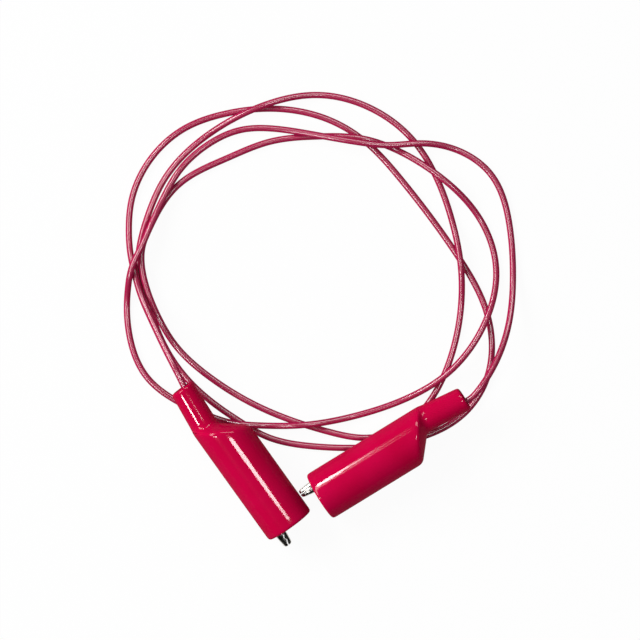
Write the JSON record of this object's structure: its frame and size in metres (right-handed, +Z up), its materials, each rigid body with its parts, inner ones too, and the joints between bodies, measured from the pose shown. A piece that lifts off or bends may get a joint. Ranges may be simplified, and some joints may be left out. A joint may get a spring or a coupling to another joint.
{
  "type": "test lead",
  "caption": "Loosely coiled red test lead: a thin insulated cord with a spring-loaded, toothed jaw clip in a soft sleeve at each end, only the jaw tips showing.",
  "frame": {"origin": "on the table, under the middle of the box round the two clips", "axes": "+Z up from the table, -Y the way clip a's tips point, -X about the way clip b's tips point"},
  "size_m": [0.1128, 0.1161, 0.017],
  "materials": {
    "nickel_plate": "nickel plated, bright",
    "spring_steel": "plain drawn wire",
    "copper_strands": "bare twisted copper",
    "boot_vinyl": "glossy soft vinyl",
    "cord_vinyl": "satin soft vinyl"
  },
  "bodies": {
    "lead": {"cord": "cord_vinyl", "fixed_jaw_a": "nickel_plate", "pivot_rivet_a": "nickel_plate", "torsion_spring_a": "spring_steel", "wire_screw_a": "nickel_plate", "conductor_end_a": "copper_strands", "fixed_jaw_b": "nickel_plate", "pivot_rivet_b": "nickel_plate", "torsion_spring_b": "spring_steel", "wire_screw_b": "nickel_plate", "conductor_end_b": "copper_strands"},
    "moving_jaw_a": {"moving_jaw_a": "nickel_plate"},
    "boot_a": {"boot_a": "boot_vinyl"},
    "moving_jaw_b": {"moving_jaw_b": "nickel_plate"},
    "boot_b": {"boot_b": "boot_vinyl"}
  },
  "joints": [
    {"name": "jaw_a_open", "type": "hinge", "parent": "lead", "child": "moving_jaw_a", "pos_m": [-0.0285, -0.00365, 0.00848], "axis": [0, -0.0785, 0.9969], "range_deg": [0, 19], "stiffness_Nm_per_rad": 0.05, "deforming": ["torsion_spring_a"]},
    {"name": "boot_a_slide", "type": "slide", "parent": "lead", "child": "boot_a", "axis": [0, 0.9969, 0.0785], "range_m": [0, 0.004]},
    {"name": "jaw_b_open", "type": "hinge", "parent": "lead", "child": "moving_jaw_b", "pos_m": [0.00199, -0.01843, 0.00862], "axis": [-0.087, 0.0058, 0.9962], "range_deg": [0, 19], "stiffness_Nm_per_rad": 0.05, "deforming": ["torsion_spring_b"]},
    {"name": "boot_b_slide", "type": "slide", "parent": "lead", "child": "boot_b", "axis": [0.994, -0.066, 0.0872], "range_m": [0, 0.004]}
  ]
}
